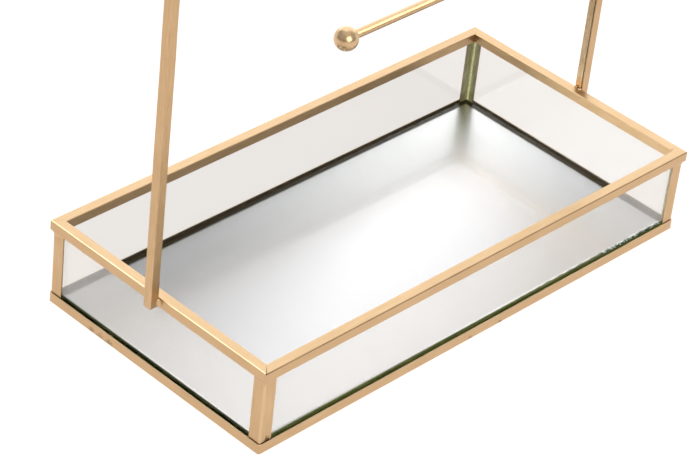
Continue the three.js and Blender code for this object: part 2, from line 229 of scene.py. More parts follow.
def plated_gold(name, mottle=0.0, polish=0.0, tooth=1.0, pale_wear_and_highlight=0.0, stains=()):
    """Champagne-gold plate over drawn brass strip. Its grain is noise drawn out along the strip; over it
    lie a slow clouding of the plate and fine pits. Mottle adds darker blotches, the pale share a paler tone
    and polish takes roughness away; the paler tone is wear on the ball and the post seams, and a painted
    highlight with some wear on the rail folds, the lip's top and the angles' ridges. Tooth is the share of
    the grain that is felt as relief. A stain is a spot, a radius and a strength: it darkens the plate by
    the distance from the spot, made ragged."""
    n = Nodes(bpy.data.materials.new(name))
    strip, place = n.strip(), n.place()
    grain = n.noise(n.stretched(strip, (260, 9000, 1)), 1.0, 4.0)
    cloud = n.noise(place, 55.0, 3.0)
    pits = n.noise(place, 2600.0, 2.0)
    tone = n.mix(n.spread(cloud, 0.3, 0.7, 0.0, 1.0), GOLD_DEEP, GOLD_LIGHT)
    streak = n.noise(n.stretched(strip, (70, 3800, 1)), 1.0, 3.0)
    tone = n.mix(n.spread(streak, 0.42, 0.66, 0.0, 0.9), tone, GOLD_WORN)
    # A paler tone by the share given: wear on the ball and post seams, painted highlight on folds and
    # ridges.
    if pale_wear_and_highlight:
        tone = n.mix(n.spread(cloud, 0.3, 0.7, 0.7 * pale_wear_and_highlight, pale_wear_and_highlight), tone, GOLD_PALE_WEAR_AND_HIGHLIGHT)
    if mottle:
        patches = n.noise(n.stretched(place, (1, 1, 0.45)), 420.0, 4.0, 0.6)
        tone = n.mix(n.spread(patches, 0.5, 0.62, 0.0, mottle), tone, GOLD_BLOTCHED)
    for spot, radius, strength in stains:
        gap = n.add("ShaderNodeVectorMath", {"operation": "DISTANCE"})
        n.feed(gap, {0: place, 1: spot})
        fray = n.spread(n.noise(place, 900.0), 0.3, 0.7, -radius * 0.4, radius * 0.4)
        ragged = n.combine(gap.outputs["Value"], fray)
        tone = n.mix(n.spread(ragged, radius * 0.5, radius * 1.1, strength, 0.0), tone, STAIN_BROWN)
    clouding = n.spread(cloud, 0.3, 0.7, -0.03, 0.03)
    rough = n.combine(n.spread(grain, 0.25, 0.75, 0.30 - polish, 0.44 - polish), clouding)
    height = n.combine(grain, n.combine(pits, 0.35, "MULTIPLY"))
    n.feed(n.shader, {"Base Color": tone, "Metallic": 1.0, "Roughness": rough})
    n.feed(n.shader, {"Normal": n.bump(height, 0.006 * MM * tooth, 0.5)})
    return n.owner


def inside_painted_tone(name, dark, light):
    """The back of the strip, dull olive brass mottled lengthwise, in the two tones given: raised pale
    inside the angles as painted light, and dark inside the lip as painted shade.
    """
    n = Nodes(bpy.data.materials.new(name))
    place = n.place()
    mottle = n.noise(n.stretched(place, (1, 1, 0.4)), 480.0, 4.0, 0.6)
    grain = n.noise(place, 3000.0, 2.0)
    tone = n.mix(n.spread(mottle, 0.38, 0.62, 0.0, 1.0), dark, light)
    rough = n.spread(mottle, 0.3, 0.7, 0.62, 0.48)
    n.feed(n.shader, {"Base Color": tone, "Metallic": 0.0, "Roughness": rough})
    n.feed(n.shader, {"Normal": n.bump(grain, 0.01 * MM, 0.5)})
    return n.owner


def material_on_columns(piece, points, columns):
    """Gives each material named to its columns: a column is the strip of quads that starts at one point of
    the section and runs the whole length of the sweep."""
    slots = np.zeros(len(piece.data.polygons), np.int32)
    quads = np.arange(len(slots))
    caps = len(slots) % points
    for material, chosen in columns.items():
        slots[np.isin(quads % points, chosen) & (quads < len(slots) - caps)] = material
    piece.data.polygons.foreach_set("material_index", slots)


def fold_painted_reflection(name):
    """The fold of the front rail, painted dark brown in a fine broken line: a painted dark reflection."""
    n = Nodes(bpy.data.materials.new(name))
    breaks = n.noise(n.stretched(n.strip(), (160, 2000, 1)), 1.0, 3.0)
    tone = n.mix(n.spread(breaks, 0.35, 0.65, 0.0, 1.0), (0.17, 0.10, 0.045, 1), (0.34, 0.22, 0.11, 1))
    rough = n.spread(breaks, 0.3, 0.7, 0.5, 0.4)
    n.feed(n.shader, {"Base Color": tone, "Metallic": 1.0, "Roughness": rough})
    return n.owner


strip_gold = plated_gold("strip_gold")
# The paler golds go on the rail folds, the lip's top and the angles' ridges: painted highlight with some
# wear.
fold_wear_and_highlight_gold = plated_gold("fold_wear_and_highlight_gold", polish=0.08, pale_wear_and_highlight=0.5)
ridge_wear_and_highlight_gold = plated_gold("ridge_wear_and_highlight_gold", polish=0.04, pale_wear_and_highlight=0.22)
# The front rail's dark fold line is a painted dark reflection.
front_fold_painted_reflection = fold_painted_reflection("front_fold_painted_reflection")
# The angles' pale insides are painted light.
angle_inside_painted_light = inside_painted_tone("angle_inside_painted_light", (0.72, 0.66, 0.32, 1), (0.98, 0.95, 0.62, 1))

front_lo, front_hi = (np.array(c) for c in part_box("rim_rail_front"))
RIM_TOP = front_hi[2]
RAIL_WIDTH = front_hi[1] - front_lo[1]
RAIL_DROP = RIM_TOP - front_lo[2]
HALF_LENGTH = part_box("rim_rail_right")[1][0]
HALF_DEPTH = -front_lo[1]
SIDES = {
    "front": ((0, -HALF_DEPTH, 0), 0, HALF_LENGTH),
    "right": ((HALF_LENGTH, 0, 0), 1, HALF_DEPTH),
    "back": ((0, HALF_DEPTH, 0), 2, HALF_LENGTH),
    "left": ((-HALF_LENGTH, 0, 0), 3, HALF_DEPTH),
}


def rail_outline():
    """The channel's section as inset and height: outer flange, top face, slightly shorter inner flange."""
    top, low, wall = RIM_TOP, RIM_TOP - RAIL_DROP, STRIP_WALL
    inner_low = low + INNER_FLANGE_SHORTER
    corners = [(0, low), (wall, low), (wall, top - wall), (RAIL_WIDTH - wall, top - wall)]
    corners += [(RAIL_WIDTH - wall, inner_low), (RAIL_WIDTH, inner_low), (RAIL_WIDTH, top), (0, top)]
    radii = [STRIP_EDGE] * 2 + [0.08 * MM] * 2 + [STRIP_EDGE] * 2 + [RAIL_FOLD] * 2
    return rounded_loop(corners, radii)


def rail_rings(half, seed, corners):
    """Each station's points lie at a share of their own half length, and that half length is shorter by
    the point's inset, which makes the mitre, and by half the slit left at that end. The slit is open on the
    outer part of the top only. The waver moves whole stations in, out, up and down."""
    outline = rail_outline()
    share = np.linspace(-1, 1, RAIL_STATIONS)[:, None]
    inset, height = outline[None, :, 0], outline[None, :, 1]
    outer_top = (height > RIM_TOP - RAIL_FOLD) & (inset < OPEN_WIDTH)
    slits = [np.where(outer_top, OPEN_MITRE.get(corner, CLOSED_MITRE), CLOSED_MITRE) for corner in corners]
    slit = np.where(share < 0, slits[0], slits[1])
    along = share * (half - inset - slit / 2)
    calm = 1 - np.abs(share) ** 6
    sway = (slow_waver(along, seed) + STRIP_WAVER) * 0.5 * calm
    dip = -np.abs(slow_waver(along, seed + 50)) * calm
    return np.stack([along, inset + sway, height + dip + 0 * along], 2)


# The outer fold is the section's last corner. These are the first quad of its painted line and the one
# after its last: a painted dark reflection on the front rail, a painted highlight with some wear on the
# rest.
FOLD_LINE = {"front": (4, 6), "right": (2, 5), "back": (2, 5), "left": (1, 5)}
RAIL_CORNERS = {
    "front": ("front_left", "front_right"),
    "right": ("front_right", "back_right"),
    "back": ("back_right", "back_left"),
    "left": ("back_left", "front_left"),
}
for seed, (side, (origin, turns, half)) in enumerate(SIDES.items()):
    rings = quarter_turned(rail_rings(half, seed, RAIL_CORNERS[side]), origin, turns)
    # The front rail's fold is a painted dark reflection; the other folds a painted highlight with some wear.
    fold = front_fold_painted_reflection if side == "front" else fold_wear_and_highlight_gold
    rail = swept_piece(f"rail_{side}", rings, [strip_gold, fold])
    points = rings.shape[1]
    outer_fold = points * 7 // 8
    first, end = FOLD_LINE[side]
    material_on_columns(rail, points, {1: np.arange(outer_fold + first, outer_fold + end)})
    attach(rail, "root")
    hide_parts(f"rim_rail_{side}")


# ---- Side panes ------------------------------------------------------------------------------------------
# Four strips of clear float glass, scored and snapped to size. Their faces are fire-polished; the cut
# edges are ground a little, and look through the length of the glass, so they read olive green; their
# pale glow is painted light.
PANE_ARRIS = 0.22 * MM


def clear_glass(name, tint, clearness, shine, smear=0.0, bend=1.5):
    """Float glass: a smooth clear body with the faintest tint, and a trace of handling marks that only
    change how sharply it reflects. Clearness is the share of light that passes clear; the rest turns to a
    diffuse veil in the tint's colour, which on the front and left panes is painted light. Shine is the share
    of its mirroring that is left, and bend is its index of refraction."""
    n = Nodes(bpy.data.materials.new(name))
    n.feed(n.shader, {"Base Color": tint, "Metallic": 0.0, "IOR": bend, "Transmission Weight": clearness})
    n.feed(n.shader, {"Specular Tint": (shine, shine, shine, 1), "Roughness": 0.0})
    if smear:
        marks = n.noise(n.stretched(n.place(), (1, 1, 2.2)), 38.0, 4.0)
        n.feed(n.shader, {"Roughness": n.spread(marks, 0.3, 0.7, 0.2 * smear, smear)})
    return n.owner


def cut_edge(name, dark, light, shatter=0.0, glow=0.0, see_through=0.0):
    """A snapped and ground glass edge: green, part see-through, with lines of score marks along it. Where
    it is shattered the marks turn into hard-edged flakes of the size that the shatter's scale gives. The
    glow is emission in the edge's own tone: painted light, standing in for the light that the sheet
    gathers through its faces and pipes out at the edge."""
    n = Nodes(bpy.data.materials.new(name))
    place = n.place()
    lines = n.noise(n.stretched(place, (60, 60, 2600)), 1.0, 3.0)
    shells = n.noise(place, 900.0, 3.0)
    share = n.spread(lines, 0.35, 0.7, 0.0, 1.0)
    if shatter:
        share = n.spread(n.noise(n.stretched(place, (1, 1, 1.6)), shatter, 2.0), 0.5, 0.56, 0.0, 1.0)
    tone = n.mix(share, dark, light)
    n.feed(n.shader, {"Base Color": tone, "IOR": 1.5, "Specular IOR Level": 0.0})
    n.feed(n.shader, {"Transmission Weight": see_through})
    # The emission is painted light.
    n.feed(n.shader, {"Emission Color": tone, "Emission Strength": glow})
    n.feed(n.shader, {"Roughness": n.spread(shells, 0.3, 0.7, 0.25, 0.5)})
    n.feed(n.shader, {"Normal": n.bump(shells, 0.05 * MM, 0.5)})
    return n.owner


clean_glass = clear_glass("clean_glass", (0.80, 0.815, 0.80, 1), clearness=0.97, shine=0.5, smear=0.03)
# The front and left panes' pale veil is painted light.
veil_painted_light_glass = clear_glass("veil_painted_light_glass", (0.99, 0.985, 0.96, 1), clearness=0.85, shine=1.0)
# The foot's shine is taken out as painted shade.
foot_glass = clear_glass("foot_glass", (0.93, 0.95, 0.90, 1), clearness=1.0, shine=0.0, bend=1.3)
# The panes' undersides are a dark copy of the cut edge: painted shade.
under_edge = cut_edge("under_edge", (0.05, 0.036, 0.008, 1), (0.10, 0.075, 0.018, 1))
# The panes' ends are pale and glow: painted light.
pane_edge = cut_edge("pane_edge", (0.62, 0.60, 0.26, 1), (0.95, 0.92, 0.55, 1), glow=0.45, see_through=0.7)


def slab_rings(lo, hi, arris, foot=None):
    """A flat slab between two corners: rounded outlines in plan, stacked in height, the first and last
    drawn in by the arris so that every long edge is taken off. The third ring stands at the foot's height
    where one is given."""
    third = foot or lo[2] + 2 * arris
    heights = np.array([lo[2], lo[2] + arris, third, hi[2] - 2 * arris, hi[2] - arris, hi[2]])
    drawn_in = np.array([arris, 0, 0, 0, 0, arris])
    rings = []
    for height, inset in zip(heights, drawn_in):
        x0, y0, x1, y1 = lo[0] + inset, lo[1] + inset, hi[0] - inset, hi[1] - inset
        outline = rounded_loop([(x0, y0), (x1, y0), (x1, y1), (x0, y1)], [arris] * 4, 3, arris * 0.5)
        rings.append(np.column_stack([outline, np.full(len(outline), height)]))
    return np.array(rings)


def face_values(piece, kind):
    """The normals or the centres of a piece's faces, one row for each face."""
    values = np.empty(len(piece.data.polygons) * 3)
    piece.data.polygons.foreach_get(kind, values)
    return values.reshape(-1, 3)


# The front and left panes carry a pale veil, painted light. Their foot stands in the shade of the base
# strip, and its shine is taken out as painted shade. A pane's materials are numbered in this order.
PANE_FOOT = 6.4 * MM
BODY, ENDS, FOOT, UNDERSIDE = range(4)
panes = []
for side, (origin, turns, half) in SIDES.items():
    pane_lo, pane_hi = (np.array(c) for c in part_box(f"glass_{side}"))
    body = veil_painted_light_glass if side in ("front", "left") else clean_glass
    stack = slab_rings(pane_lo, pane_hi, PANE_ARRIS, PANE_FOOT)
    pane = swept_piece(f"pane_{side}", stack, [body, pane_edge, foot_glass, under_edge], sharp=25)
    normals = face_values(pane, "normal")
    flat = np.abs(normals[:, 1 - turns % 2]) > 0.9
    low = face_values(pane, "center")[:, 2] < PANE_FOOT
    slots = np.where(flat, BODY, ENDS)
    slots[~flat & (normals[:, 2] > 0.3)] = BODY
    slots[~flat & (normals[:, 2] < -0.3)] = UNDERSIDE
    if body is veil_painted_light_glass:
        slots[flat & low] = FOOT
    pane.data.polygons.foreach_set("material_index", slots.astype(np.int32))
    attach(pane, "root")
    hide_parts(f"glass_{side}")
    panes.append(pane)


# ---- Corner angles ---------------------------------------------------------------------------------------
# Four short lengths of the same strip folded to an L. They stand outside the glass, tucked behind the base
# lip below and under the rim above, and their ridge is the soft fold of the strip.
ANGLE_RIDGE = 0.8 * MM
ANGLE_STATIONS = 46
CORNERS = {
    "front_left": ((-HALF_LENGTH, -HALF_DEPTH, 0), 0),
    "front_right": ((HALF_LENGTH, -HALF_DEPTH, 0), 1),
    "back_right": ((HALF_LENGTH, HALF_DEPTH, 0), 2),
    "back_left": ((-HALF_LENGTH, HALF_DEPTH, 0), 3),
}
angle_lo, angle_hi = (np.array(c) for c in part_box("corner_angle_front_left"))
ANGLE_INSET = angle_lo[0] + HALF_LENGTH
ANGLE_LEG = angle_hi[0] - angle_lo[0]
base_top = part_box("base_frame")[1][2]


def angle_outline():
    """An L in plan, with the ridge on a wide arc and the strip's edges barely broken."""
    near, far, back = ANGLE_INSET, ANGLE_INSET + ANGLE_LEG, ANGLE_INSET + STRIP_WALL
    corners = [(near, near), (far, near), (far, back), (back, back), (back, far), (near, far)]
    return rounded_loop(corners, [ANGLE_RIDGE, STRIP_EDGE, STRIP_EDGE, 0.05 * MM, STRIP_EDGE, STRIP_EDGE], 8)


FRONT_FOOT = (angle_lo[0] + 3.6 * MM, -HALF_DEPTH + ANGLE_INSET, base_top)
angle_gold = plated_gold("angle_gold", stains=[(FRONT_FOOT, 2.2 * MM, 0.8)])

for seed, (corner, (origin, turns)) in enumerate(CORNERS.items()):
    outline = angle_outline()
    heights = np.linspace(angle_lo[2], angle_hi[2], ANGLE_STATIONS)[:, None]
    ease = np.sin(np.linspace(0, math.pi, ANGLE_STATIONS))[:, None]
    sway = slow_waver(heights, 20 + seed, 0.03 * MM) * ease
    x, y = outline[None, :, 0] + sway, outline[None, :, 1] + sway
    rings = quarter_turned(np.stack([x, y, heights + 0 * x], 2), origin, turns)
    angle = swept_piece(f"angle_{corner}", rings, [angle_gold, angle_inside_painted_light, ridge_wear_and_highlight_gold])
    per_corner = len(outline) // 6
    # The inside's pale tone is painted light.
    inside = np.arange(3 * per_corner - 1, 4 * per_corner)
    # The ridge's paler gold is a painted highlight with some wear.
    ridge = np.arange(1, per_corner - 2)
    material_on_columns(angle, len(outline), {1: inside, 2: ridge})
    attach(angle, "root")
    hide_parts(f"corner_angle_{corner}")


# ---- Corner solder ---------------------------------------------------------------------------------------
# Where a rail's flange meets the corner angle, a fillet of solder was run into the step and plated over
# with the rest. It fills the step under the rim and dies out down the angle.
SOLDER_STATIONS = 60


def plated_solder(name):
    """Plated solder: the same gold, paler, with the soft lumps and small pits of a joint that was wiped."""
    n = Nodes(bpy.data.materials.new(name))
    place = n.place()
    lumps = n.noise(place, 700.0, 3.0)
    grain = n.noise(place, 3800.0, 2.0)
    flux = n.spread(n.noise(place, 310.0, 3.0), 0.62, 0.74, 0.0, 0.45)
    plate = n.mix(n.spread(lumps, 0.3, 0.7, 0.0, 1.0), GOLD_DEEP, GOLD_LIGHT)
    tone = n.mix(flux, plate, (0.26, 0.17, 0.08, 1))
    rough = n.spread(lumps, 0.3, 0.7, 0.32, 0.5)
    n.feed(n.shader, {"Base Color": tone, "Metallic": 1.0, "Roughness": rough})
    rough_skin = n.bump(grain, 0.012 * MM, 0.5)
    n.feed(n.shader, {"Normal": n.bump(lumps, 0.06 * MM, 0.6, rough_skin)})
    return n.owner


solder_gold = plated_solder("solder_gold")
bead_lo, bead_hi = (np.array(c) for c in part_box("corner_solder_front_left"))


def corner_bead(seed):
    """A wedge section carried round the corner. Along the path the distance s runs from one leg's end
    through the ridge to the other's; the section's reach outwards and downwards fades near both ends and
    swells and shrinks a little with the waver."""
    back = ANGLE_INSET - 0.03 * MM
    radius = ANGLE_RIDGE
    leg = bead_hi[0] + HALF_LENGTH - back - radius
    quarter = radius * math.pi / 2
    s = np.linspace(-leg - quarter / 2, leg + quarter / 2, SOLDER_STATIONS)
    swing = np.clip(s / (quarter / 2), -1, 1) * math.pi / 4
    past = np.clip(np.abs(s) - quarter / 2, 0, None)
    outward = np.stack([-np.cos(math.pi / 4 + swing), -np.sin(math.pi / 4 + swing)], 1)
    centre = back + radius
    x = centre + outward[:, 0] * radius + np.where(s > 0, past, 0)
    y = centre + outward[:, 1] * radius + np.where(s < 0, past, 0)
    run = np.linspace(0, 1, 9)
    reach = np.concatenate([[0], (1 - run) ** 1.6 * 0.94 + 0.06 * (run < 1), [0]])
    fall = np.concatenate([[0], run, [1]])
    fade = 1 - np.abs(s / s[-1]) ** 5 * 0.75
    swell = 1 + slow_waver(s, 30 + seed, 0.22) + slow_waver(s * 4, 40 + seed, 0.1)
    proud = (back - (bead_lo[0] + HALF_LENGTH)) * 0.98 * fade * np.clip(swell, 0.7, 1.0)
    depth = (bead_hi[2] - bead_lo[2]) * np.clip(fade * swell, 0.3, 1.0)
    rings = np.empty((len(s), len(reach), 3))
    rings[:, :, 0] = x[:, None] + outward[:, 0, None] * reach * proud[:, None]
    rings[:, :, 1] = y[:, None] + outward[:, 1, None] * reach * proud[:, None]
    rings[:, :, 2] = bead_hi[2] - fall * depth[:, None]
    return rings


for seed, (corner, (origin, turns)) in enumerate(CORNERS.items()):
    rings = quarter_turned(corner_bead(seed), origin, turns)
    bead = swept_piece(f"bead_{corner}", rings, [solder_gold], sharp=60)
    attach(bead, "root")
    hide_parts(f"corner_solder_{corner}")


# ---- Base strip ------------------------------------------------------------------------------------------
# One strip folded to an L and bent round the foot of the tray. The lip stands outside the corner angles and
# has round bends; the ledge below carries the glass and is slit at each bend so that it can lie flat.
LIP_BEND = 1.35 * MM
BEND_STEPS = 9
LEDGE_SLIT = 0.3 * MM
LIP_SEAM = 0.06 * MM
base_lo, base_hi = (np.array(c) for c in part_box("base_frame"))
BASE_LEDGE = 8.0 * MM
LIP_STATIONS = 90
LEDGE_STATIONS = 60


def lip_path():
    """The lip's outside in plan, from one side of the back seam round to the other, as points and outward
    directions. Sides are evenly spaced straight runs, and each bend's points lie on a quarter circle."""
    half_x, half_y = base_hi[0], base_hi[1]
    swing = np.linspace(0, math.pi / 2, BEND_STEPS)[1:-1]
    bend_normal = np.stack([np.sin(swing), -np.cos(swing), 0 * swing], 1)
    spots, normals = [], []
    for turn in (2, 3, 0, 1, 2):
        length, offset = (half_x, half_y) if turn % 2 == 0 else (half_y, half_x)
        reach = length - LIP_BEND
        first = LIP_SEAM / 2 if not spots else -reach
        last = -LIP_SEAM / 2 if len(spots) == 4 else reach
        run = np.linspace(first, last, LIP_STATIONS)
        side = np.stack([run, np.full(LIP_STATIONS, -offset), 0 * run], 1)
        out = np.tile([0.0, -1.0, 0.0], (LIP_STATIONS, 1))
        if len(spots) < 4:
            bend = np.array([reach, -offset + LIP_BEND, 0]) + bend_normal * LIP_BEND
            side, out = np.concatenate([side, bend]), np.concatenate([out, bend_normal])
        spots.append(quarter_turned(side, (0, 0, 0), turn))
        normals.append(quarter_turned(out, (0, 0, 0), turn))
    return np.concatenate(spots), np.concatenate(normals)


def base_lip_rings():
    """The lip's upright section, its top edge folded round and its bottom edge on a small arc, carried
    along the path on the path's own outward direction."""
    spots, normals = lip_path()
    height = base_hi[2] - base_lo[2]
    corners = [(0, 0), (STRIP_WALL, 0), (STRIP_WALL, height), (0, height)]
    outline = rounded_loop(corners, [0.2 * MM, 0.05 * MM, 0.17 * MM, 0.17 * MM], 4, 0.04 * MM)
    along = np.concatenate([[0], np.cumsum(np.linalg.norm(np.diff(spots, axis=0), axis=1))])
    dip = slow_waver(along, 70, 0.03 * MM) - 0.03 * MM
    lift = outline[None, :, 1] + dip[:, None] * (outline[None, :, 1] / height)
    rings = spots[:, None, :] - normals[:, None, :] * outline[None, :, 0, None]
    rings[:, :, 2] = base_lo[2] + lift
    return rings


LIP_STAINS = [
    ((13.4 * MM, base_lo[1], base_lo[2] + 0.3 * MM), 0.8 * MM, 0.95),
    ((-4.8 * MM, base_lo[1], base_lo[2] + 0.2 * MM), 1.4 * MM, 0.35),
    ((base_lo[0], 36 * MM, base_lo[2] + 0.6 * MM), 2.0 * MM, 0.4),
    ((base_lo[0], 30.5 * MM, base_lo[2] + 0.2 * MM), 3.0 * MM, 0.25),
    ((base_lo[0], 25 * MM, base_lo[2] + 0.6 * MM), 2.0 * MM, 0.4),
]
base_gold = plated_gold("base_gold", stains=LIP_STAINS)
# The lip's inside, in the narrow gap by the corner angles, is painted shade.
lip_inside_painted_shade = inside_painted_tone("lip_inside_painted_shade", (0.12, 0.080, 0.024, 1), (0.20, 0.14, 0.045, 1))
lip_rings = base_lip_rings()
lip = swept_piece("base_lip", lip_rings, [base_gold, lip_inside_painted_shade, fold_wear_and_highlight_gold])
lip_points = lip_rings.shape[1]
# The lip's top takes the paler gold: a painted highlight with some wear.
lip_top = np.arange(lip_points // 2, lip_points - 1)
material_on_columns(lip, lip_points, {1: [lip_points // 2 - 1], 2: lip_top})
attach(lip, "root")
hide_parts("base_frame")

ledge_outer = base_lo[0] + HALF_LENGTH + STRIP_WALL * 0.5
ledge_inner = base_lo[0] + HALF_LENGTH + BASE_LEDGE
ledge_corners = [(ledge_outer, 0), (ledge_inner, 0), (ledge_inner, STRIP_WALL), (ledge_outer, STRIP_WALL)]
for side, (origin, turns, half) in SIDES.items():
    outline = rounded_loop(ledge_corners, [0.1 * MM] * 4, 3)
    share = np.linspace(-1, 1, LEDGE_STATIONS)[:, None]
    along = share * (half - outline[None, :, 0] - LEDGE_SLIT * math.sqrt(0.5))
    rings = np.stack([along, outline[None, :, 0] + 0 * along, outline[None, :, 1] + 0 * along], 2)
    ledge = swept_piece(f"base_ledge_{side}", quarter_turned(rings, origin, turns), [base_gold])
    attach(ledge, "root")


# ---- Floor -----------------------------------------------------------------------------------------------
# A plate of 3 mm mirror lies on a felt-faced board inside the panes. Its silvering is on the underside, so
# the cut edge shows green through the plate; the edge by the front right corner is chipped.
MIRROR_ARRIS = 0.3 * MM
UNDER_ARRIS = 0.06 * MM
PLATE_STEPS = 260
CHIP_FROM, CHIP_TO = 0.60, 0.985
CHIP_DEPTH = 0.9 * MM
FLAKES_FROM, FLAKES_TO = 80 * MM, 119 * MM
FLAKES_INWARD = 1.2 * MM
FLAKES_ABOVE = 0.9 * MM
mirror_lo, mirror_hi = (np.array(c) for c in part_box("floor_mirror"))


def silvering(name):
    """Silver behind glass, finely matted, so that it gives light back without a sharp image."""
    n = Nodes(bpy.data.materials.new(name))
    cloud = n.noise(n.place(), 16.0, 2.0)
    tone = n.mix(cloud, (0.81, 0.812, 0.82, 1), (0.855, 0.857, 0.865, 1))
    rough = n.spread(cloud, 0.3, 0.7, 0.245, 0.265)
    n.feed(n.shader, {"Base Color": tone, "Metallic": 1.0, "Roughness": rough})
    return n.owner


def plate_rings():
    """Six rings in plan stacked from the underside to the top. The outline is sampled finely all round;
    on the front edge near the right corner the upper rings are bitten inwards and down by scallops, whose
    depth is the square of a sine of uneven pace, so they meet in sharp ridges as chips do."""
    share = np.linspace(0, 1, PLATE_STEPS, endpoint=False)
    x0, y0, x1, y1 = mirror_lo[0], mirror_lo[1], mirror_hi[0], mirror_hi[1]
    front = np.stack([x0 + (x1 - x0) * share, np.full(PLATE_STEPS, y0)], 1)
    right = np.stack([np.full(PLATE_STEPS, x1), y0 + (y1 - y0) * share], 1)
    back = np.stack([x1 + (x0 - x1) * share, np.full(PLATE_STEPS, y1)], 1)
    left = np.stack([np.full(PLATE_STEPS, x0), y1 + (y0 - y1) * share], 1)
    outline = np.concatenate([front, right, back, left])
    middle = (mirror_lo[:2] + mirror_hi[:2]) / 2
    half = (mirror_hi[:2] - mirror_lo[:2]) / 2
    pace = np.cumsum(np.random.default_rng(5).uniform(0.2, 1.6, PLATE_STEPS))
    bite = np.sin(pace * 0.55) ** 2 * np.random.default_rng(6).uniform(0.5, 1, PLATE_STEPS)
    window = np.clip((share - CHIP_FROM) / 0.08, 0, 1) * np.clip((CHIP_TO - share) / 0.03, 0, 1)
    chips = np.concatenate([bite * window * CHIP_DEPTH, np.zeros(3 * PLATE_STEPS)])
    levels = np.array([0.0, 0.06, 0.45, 0.80, 0.93, 1.0])
    drawn_in = np.array([UNDER_ARRIS, 0, 0, 0, 0, MIRROR_ARRIS])
    bitten_in = np.array([0, 0, 0, 0.35, 0.75, 1.0])
    rings = []
    for level, arris, bitten in zip(levels, drawn_in, bitten_in):
        shrink = (half - arris) / half
        ring = middle + (outline - middle) * shrink
        ring[:, 1] += chips * bitten
        lift = mirror_lo[2] + (mirror_hi[2] - mirror_lo[2]) * level
        drop = chips * 0.5 * (1 if 0.5 < level < 1 else 0)
        rings.append(np.column_stack([ring, lift - drop]))
    return np.array(rings)


mirror_glass = clear_glass("mirror_glass", (0.975, 0.97, 0.97, 1), clearness=1.0, shine=0.1)
# Lit and shaded copies of the cut edge: the front one glows, painted light; left and far, painted shade.
mirror_edge = cut_edge("mirror_edge", (0.10, 0.14, 0.025, 1), (0.30, 0.33, 0.085, 1), glow=0.2)
mirror_side_edge = cut_edge("mirror_side_edge", (0.03, 0.045, 0.008, 1), (0.15, 0.17, 0.04, 1))
mirror_far_edge = cut_edge("mirror_far_edge", (0.085, 0.052, 0.010, 1), (0.14, 0.088, 0.018, 1))
# The chipped flakes glow, the pale ones most: painted light.
chip_glass = cut_edge("chip_glass", (0.006, 0.04, 0.025, 1), (0.85, 1.0, 0.95, 1), shatter=950.0, glow=0.4)
mirror_silver = silvering("mirror_silver")

# The plate's finishes are numbered in this order.
GLASS, FRONT_EDGE, SILVER, FAR_EDGE, FLAKES, LEFT_EDGE = range(6)
mirror_finishes = [mirror_glass, mirror_edge, mirror_silver, mirror_far_edge, chip_glass, mirror_side_edge]
mirror = swept_piece("mirror_plate", plate_rings(), mirror_finishes, sharp=20)
plate_normals = face_values(mirror, "normal")
plate_centres = face_values(mirror, "center")
plate_slots = np.where(np.abs(plate_normals[:, 2]) > 0.9, GLASS, FRONT_EDGE)
plate_slots[(plate_slots == FRONT_EDGE) & (plate_normals[:, :2].sum(1) > 0)] = FAR_EDGE
plate_slots[(plate_slots == FRONT_EDGE) & (plate_normals[:, 0] < -0.5)] = LEFT_EDGE
plate_slots[plate_normals[:, 2] < -0.9] = SILVER
flaked = (plate_centres[:, 0] > FLAKES_FROM) & (plate_centres[:, 0] < FLAKES_TO)
flaked &= plate_centres[:, 1] < mirror_lo[1] + FLAKES_INWARD
flaked &= plate_centres[:, 2] > mirror_lo[2] + FLAKES_ABOVE
flaked &= (plate_slots == FRONT_EDGE) | (plate_normals[:, 2] < 0.999)
plate_slots[flaked & (plate_slots != SILVER)] = FLAKES
mirror.data.polygons.foreach_set("material_index", plate_slots.astype(np.int32))
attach(mirror, "root")
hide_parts("floor_mirror")

BOARD_ARRIS = 0.2 * MM
backing_lo, backing_hi = (np.array(c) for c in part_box("floor_backing"))


def felt(name):
    """Short black felt: a dark fibrous tangle with a soft sheen."""
    n = Nodes(bpy.data.materials.new(name))
    place = n.place()
    fibre = n.noise(n.stretched(place, (1, 2.4, 1)), 2300.0, 5.0, 0.7)
    tone = n.mix(fibre, (0.012, 0.012, 0.011, 1), (0.07, 0.068, 0.064, 1))
    n.feed(n.shader, {"Base Color": tone, "Roughness": 0.95, "Sheen Weight": 0.4})
    n.feed(n.shader, {"Normal": n.bump(fibre, 0.15 * MM, 0.9)})
    return n.owner


board_rings = slab_rings(backing_lo, backing_hi, BOARD_ARRIS)
board = swept_piece("floor_board", board_rings, [felt("floor_felt")], sharp=25)
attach(board, "root")
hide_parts("floor_backing")


# ---- Posts and crossbar ----------------------------------------------------------------------------------
# Square tube folded from strip, its seam left open on the side that faces into the portal. The posts stand
# against the outside of the short rails and are mitred to the crossbar at the top.
TUBE_WALL = 0.5 * MM
TUBE_SEAM = 0.35 * MM
TUBE_EDGE = 0.4 * MM
TUBE_STATIONS = 120
PORTAL_MITRE = 0.05 * MM
post_lo, post_hi = (np.array(c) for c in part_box("post_right"))
portal_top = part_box("crossbar")[1][2]
TUBE = post_hi[1] - post_lo[1]
TUBE_CENTRE = (post_lo[0] + post_hi[0]) / 2


def tube_outline():
    """The folded strip's section, with the wall towards -X stopping short of its neighbour."""
    h, inner = TUBE / 2, TUBE / 2 - TUBE_WALL
    seam = -inner + TUBE_SEAM
    corners = [(-h, -h), (h, -h), (h, h), (-h, h), (-h, seam), (-inner, seam)]
    corners += [(-inner, inner), (inner, inner), (inner, -inner), (-h, -inner)]
    fold, fine = TUBE_EDGE, 0.08 * MM
    radii = [0.16 * MM, fold, fold, fold, fine, fine, fine, fine, fine, 0.1 * MM]
    return rounded_loop(corners, radii, 5, 0.05 * MM)


